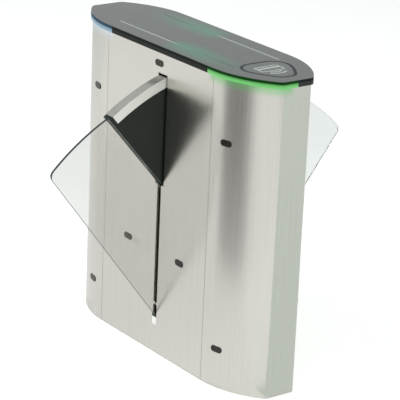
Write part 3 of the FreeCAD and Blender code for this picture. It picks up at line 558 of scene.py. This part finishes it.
pale_ink, _, _ = mottled("screen_ink_pale", {}, (2, 2, 2), ("#9CA6A0", "#ACB4AF"), (0.5, 0.65))
mesh = bmesh.new()
hole_width, hole_height = CARD_WIDTH - 2 * CARD_RIM, CARD_HEIGHT - 2 * CARD_RIM
card = rounded(CARD_WIDTH, CARD_HEIGHT, CARD_CORNER)
strip(mesh, card, rounded(hole_width, hole_height, HOLE_CORNER), closed=True)
stripe = [[(x, hole_height / 2), (x, -hole_height / 2)] for x in (STRIPE_LEFT, STRIPE_RIGHT)]
strip(mesh, *stripe)
for radius in ARC_RADII:
    strip(mesh, bow(radius + ARC_WIDTH, ARC_HALF_ANGLE), bow(radius, ARC_HALF_ANGLE))
bmesh.ops.recalc_face_normals(mesh, faces=mesh.faces)
low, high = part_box("reader_ring")
centre = ((low[0] + high[0]) / 2 + SIGN_SHIFT, (low[1] + high[1]) / 2, high[2])
mesh.transform(Matrix.Translation(centre))
add_piece("card_sign", mesh, pale_ink)

# %% [markdown]
# Each slot has a pair of small nylon pads that keep the flap in its plane, and above and below them
# a pair of dark rubber strips that keep dust out. Pad and strip fill the gap between the flap's face
# and the edge of the slot, with a wider foot behind the sheet that holds them.
# A block with bevelled edges is one cube, stretched and chamfered; each piece is made of these.

# %% Blocks that line a slot
SLOT_HALF = 11.5 * MM
SHEET = 2 * MM
FOOT = 5 * MM
CHAMFER = 0.5 * MM


def bevelled_block(mesh, low, high):
    """A block between two corners with small chamfers."""
    size = [abs(b - a) for a, b in zip(low, high)]
    middle = [(a + b) / 2 for a, b in zip(low, high)]
    place = Matrix.Translation(middle) @ Matrix.Diagonal((*size, 1))
    made = bmesh.ops.create_cube(mesh, size=1, matrix=place)
    edges = {edge for vert in made["verts"] for edge in vert.link_edges}
    bmesh.ops.bevel(mesh, geom=list(edges), offset=CHAMFER, segments=2, affect="EDGES")


def slot_lining(side, outward, spans, play, recess):
    """Blocks on both sides of a flap for each span of heights, set back from the skin by recess."""
    flap_low, flap_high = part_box(f"{side}_flap_panel")
    middle = (flap_low[0] + flap_high[0]) / 2
    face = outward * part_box("far_panel")[1][1]
    front = face - outward * recess
    behind = face - outward * SHEET
    back = behind - outward * FOOT
    mesh = bmesh.new()
    for flank, touch in ((-1, flap_low[0]), (1, flap_high[0])):
        start = touch + flank * play
        edge = middle + flank * SLOT_HALF
        foot = edge + flank * FOOT
        for low, high in spans:
            bevelled_block(mesh, (start, front, low), (edge, back, high))
            bevelled_block(mesh, (edge, behind, low), (foot, back, high))
    return mesh


print("a slot is", round(2 * SLOT_HALF / MM), "mm wide")

# %% [markdown]
# The pads come through the sheet and lie flush with it. The strips stay behind it, and keep a little
# more play than the pads, so that the flap rubs on nylon only.

# %% Guide pads and seals in the slots
PAD_LOW, PAD_HIGH = 0.161, 0.169
SEAL_HIGH = 0.556
PAD_PLAY = 0.6 * MM
SEAL_PLAY = 1.2 * MM

rubber, _, _ = mottled(
    "moulded_rubber_dark", {"Specular IOR Level": 0.2},
    (5, 5, 20), ("#44433B", "#4E4D44"), (0.7, 0.85))
for side, outward in (("near", -1), ("far", 1)):
    guide_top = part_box(f"{side}_slot_guide")[1][2]
    above_below = [(guide_top + MM, PAD_LOW - MM), (PAD_HIGH + MM, SEAL_HIGH)]
    pads = slot_lining(side, outward, [(PAD_LOW, PAD_HIGH)], PAD_PLAY, 0.0)
    add_piece(f"{side}_guide_pads", pads, nylon)
    seals = slot_lining(side, outward, above_below, SEAL_PLAY, SHEET)
    add_piece(f"{side}_slot_seals", seals, rubber)

# %% [markdown]
# The studio is a wide floor of pale paper. For a white picture without overlighting the object,
# the floor adds a glow that only the camera and, more weakly, mirrors and clear pieces see.
# Light from the lamps still falls on it, so it keeps the shadow.

# %% Floor
FLOOR_HALF = 14.0
CAMERA_GLOW = 0.35
MIRROR_SHARE = 0.18
CLEAR_SHARE = 0.4


def stage_sheet(name, corners, material):
    """One flat sheet of the studio, not part of the object."""
    data = bpy.data.meshes.new(name)
    data.from_pydata(corners, [], [(0, 1, 2, 3)])
    sheet = bpy.data.objects.new(name, data)
    bpy.context.scene.collection.objects.link(sheet)
    data.materials.append(material)
    return sheet


paper, tree, shader = mottled(
    "rolled_paper_pale", {"Specular IOR Level": 0.0, "Emission Color": linear("#FFFFFF")},
    (400, 400, 400), ("#F3F5F4", "#F6F8F7"), (0.85, 0.95))
path = add(tree, "LightPath").outputs
mirrored = calculate(tree, "MULTIPLY", path["Is Glossy Ray"], MIRROR_SHARE)
through = calculate(tree, "MULTIPLY", path["Is Transmission Ray"], CLEAR_SHARE)
seen = calculate(tree, "MAXIMUM", mirrored, through)
seen = calculate(tree, "MAXIMUM", path["Is Camera Ray"], seen)
glow = calculate(tree, "MULTIPLY", seen, CAMERA_GLOW)
tree.links.new(glow, shader.inputs["Emission Strength"])
signs = [(-1, -1), (1, -1), (1, 1), (-1, 1)]
stage_sheet("floor", [(x * FLOOR_HALF, y * FLOOR_HALF, 0) for x, y in signs], paper)
print("floor", 2 * FLOOR_HALF, "m square")

# %% [markdown]
# The world is an even white sky. The camera, reflections and clear pieces see it at full white,
# while its light on the object is kept lower and two softboxes do the shaping.

# %% World and lamps
SKY_LIGHT = 0.55
world = bpy.data.worlds.new("studio_sky")
bpy.context.scene.world = world
world.use_nodes = True
tree = world.node_tree
background = tree.nodes["Background"]
background.inputs["Color"].default_value = linear("#FDFFFE")
path = add(tree, "LightPath").outputs
seen = calculate(tree, "MAXIMUM", path["Is Camera Ray"], path["Is Glossy Ray"])
seen = calculate(tree, "MAXIMUM", seen, path["Is Transmission Ray"])
strength = add(tree, "MapRange", {"To Min": SKY_LIGHT, "To Max": 1.0}, {"Value": seen})
tree.links.new(strength.outputs["Result"], background.inputs["Strength"])


def softbox(name, place, target, side, power):
    """A large square lamp that looks at a point; mirrors don't show it."""
    data = bpy.data.lights.new(name, "AREA")
    data.size = side
    data.energy = power
    lamp = bpy.data.objects.new(name, data)
    bpy.context.scene.collection.objects.link(lamp)
    turn = (Vector(target) - Vector(place)).to_track_quat("-Z", "Y")
    lamp.matrix_world = Matrix.Translation(place) @ turn.to_matrix().to_4x4()
    lamp.visible_glossy = False
    return lamp


lamps = [
    softbox("key_softbox", (-1.6, -3.2, 3.8), (0, 0, 0.5), 2.4, 130),
    softbox("fill_softbox", (3.6, 1.0, 3.4), (0, 0, 0.5), 2.4, 70),
]
print("lamps:", [lamp.name for lamp in lamps])

# %% [markdown]
# A mirror needs something darker to show, or steel looks like paper. Photographers stand cards
# beside the set, just out of the picture. Reflections see our cards, and some are seen through the
# clear flaps too, but the camera doesn't see them and they throw neither light nor shadow.
# How bright a card looks is a function of the place on it.

# %% Cards for the reflections
def mirror_card(name, corners, brightness, tint="#FFFFFF", through=False):
    """A flat card that reflections see, also through a flap if asked."""
    material, tree, shader = start_material(f"matt_board_{name}", {
        "Base Color": linear("#000000"), "Specular IOR Level": 0.0, "Emission Color": linear(tint)})
    shade = brightness(tree, split(tree, "Object"))
    tree.links.new(shade, shader.inputs["Emission Strength"])
    card = stage_sheet(name, corners, material)
    card.visible_camera = False
    card.visible_diffuse = False
    card.visible_transmission = through
    card.visible_shadow = False
    return card


print("cards are hidden from the camera")

# %% [markdown]
# A dark card in front makes the upright band on the rounded corner; it is darkest at its top
# and fades out to both sides. Pale mats on the floor in front, to the left and behind even out what
# the panel, the left cover and the flat end show. A grey card high on the left darkens the hood's rim.

# %% Brightness of the cards
CARD_TOP = 0.8


def dark_to_the_top(tree, at):
    upright = ramp(tree, at["Z"], 0.0, CARD_TOP, 0.46, 0.22)
    beside = ramp(tree, at["Z"], 0.05, 0.45, 0.94, 1.0)
    left = ramp(tree, at["X"], -0.16, -0.42)
    right = ramp(tree, at["X"], 0.3, 0.66)
    return mix(tree, right, mix(tree, left, upright, beside), 1.0)


def pale_mat(tree, at):
    return ramp(tree, at["X"], 0.5, 6.0, 0.81, 0.91)


def even_mat(tree, at):
    return ramp(tree, at["X"], -0.3, 0.4, 0.925, 1.0)


def fading_mat(tree, at):
    """Fades into the floor at its left end, so that no edge is seen through a flap."""
    return mix(tree, ramp(tree, at["X"], -1.8, -2.6), even_mat(tree, at), 0.97)


def dull_sky(tree, at):
    return ramp(tree, at["Z"], 1.5, 3.9, 0.36, 0.42)


print("dark card", CARD_TOP, "m high")

# %% [markdown]
# Each card is a sheet with four corners. The mats lie a few millimetres above the floor.

# %% Put up the cards
FRONT = [(-1.6, -1.04, 0), (1.2, -1.11, 0), (1.2, -1.11, CARD_TOP), (-1.6, -1.04, CARD_TOP)]
BEHIND = [(0.5, -0.15, 0.002), (6.0, 1.5, 0.002), (6.0, 6.0, 0.002), (0.5, 2.5, 0.002)]
BEFORE = [(-2.6, -1.03, 0.003), (0.5, -1.03, 0.003), (0.5, -0.14, 0.003), (-2.6, -0.14, 0.003)]
LEFT = [(-2.6, -0.14, 0.003), (-0.45, -0.14, 0.003), (-0.45, 0.4, 0.003), (-2.6, 0.4, 0.003)]
HIGH_LEFT = [(-3.0, -2.0, 1.5), (-3.0, 1.5, 1.5), (-2.4, 1.5, 3.9), (-2.4, -2.0, 3.9)]
cards = [
    mirror_card("dark_card", FRONT, dark_to_the_top, through=True),
    mirror_card("grey_mat", BEHIND, pale_mat, "#F5FFFB"),
    mirror_card("front_mat", BEFORE, fading_mat, through=True),
    mirror_card("left_mat", LEFT, even_mat),
    mirror_card("grey_sky_card", HIGH_LEFT, dull_sky),
]
print("cards:", [card.name for card in cards])

# %% [markdown]
# The camera stands about six and a half metres away with a long lens, to the right of the front
# and above it, and leans a little. Its place follows from the photograph: distance and angles
# around a point near the middle of the cabinet.

# %% Camera
AZIMUTH = radians(53.13)
ELEVATION = radians(19.47)
ROLL = radians(2.52)
AIM = Vector((0.03396, 0.01186, 0.48708))
DISTANCE = 6.5515
FOCAL_PX = 2091
FRAME_PX = 400
SENSOR_MM = 36.0

right = Vector((cos(AZIMUTH), sin(AZIMUTH), 0))
back = Vector((sin(AZIMUTH) * cos(ELEVATION), -cos(AZIMUTH) * cos(ELEVATION), sin(ELEVATION)))
up = back.cross(right)
tilted_right = cos(ROLL) * right + sin(ROLL) * up
tilted_up = cos(ROLL) * up - sin(ROLL) * right
lens = bpy.data.cameras.new("camera")
lens.sensor_width = SENSOR_MM
lens.lens = FOCAL_PX / FRAME_PX * SENSOR_MM
lens.clip_end = 100.0
camera = bpy.data.objects.new("camera", lens)
bpy.context.scene.collection.objects.link(camera)
turn = Matrix((tilted_right, tilted_up, back)).transposed().to_4x4()
camera.matrix_world = Matrix.Translation(AIM + DISTANCE * back) @ turn
bpy.context.scene.camera = camera
bpy.context.scene.view_settings.view_transform = "Standard"
print("lens", round(lens.lens, 1), "mm")
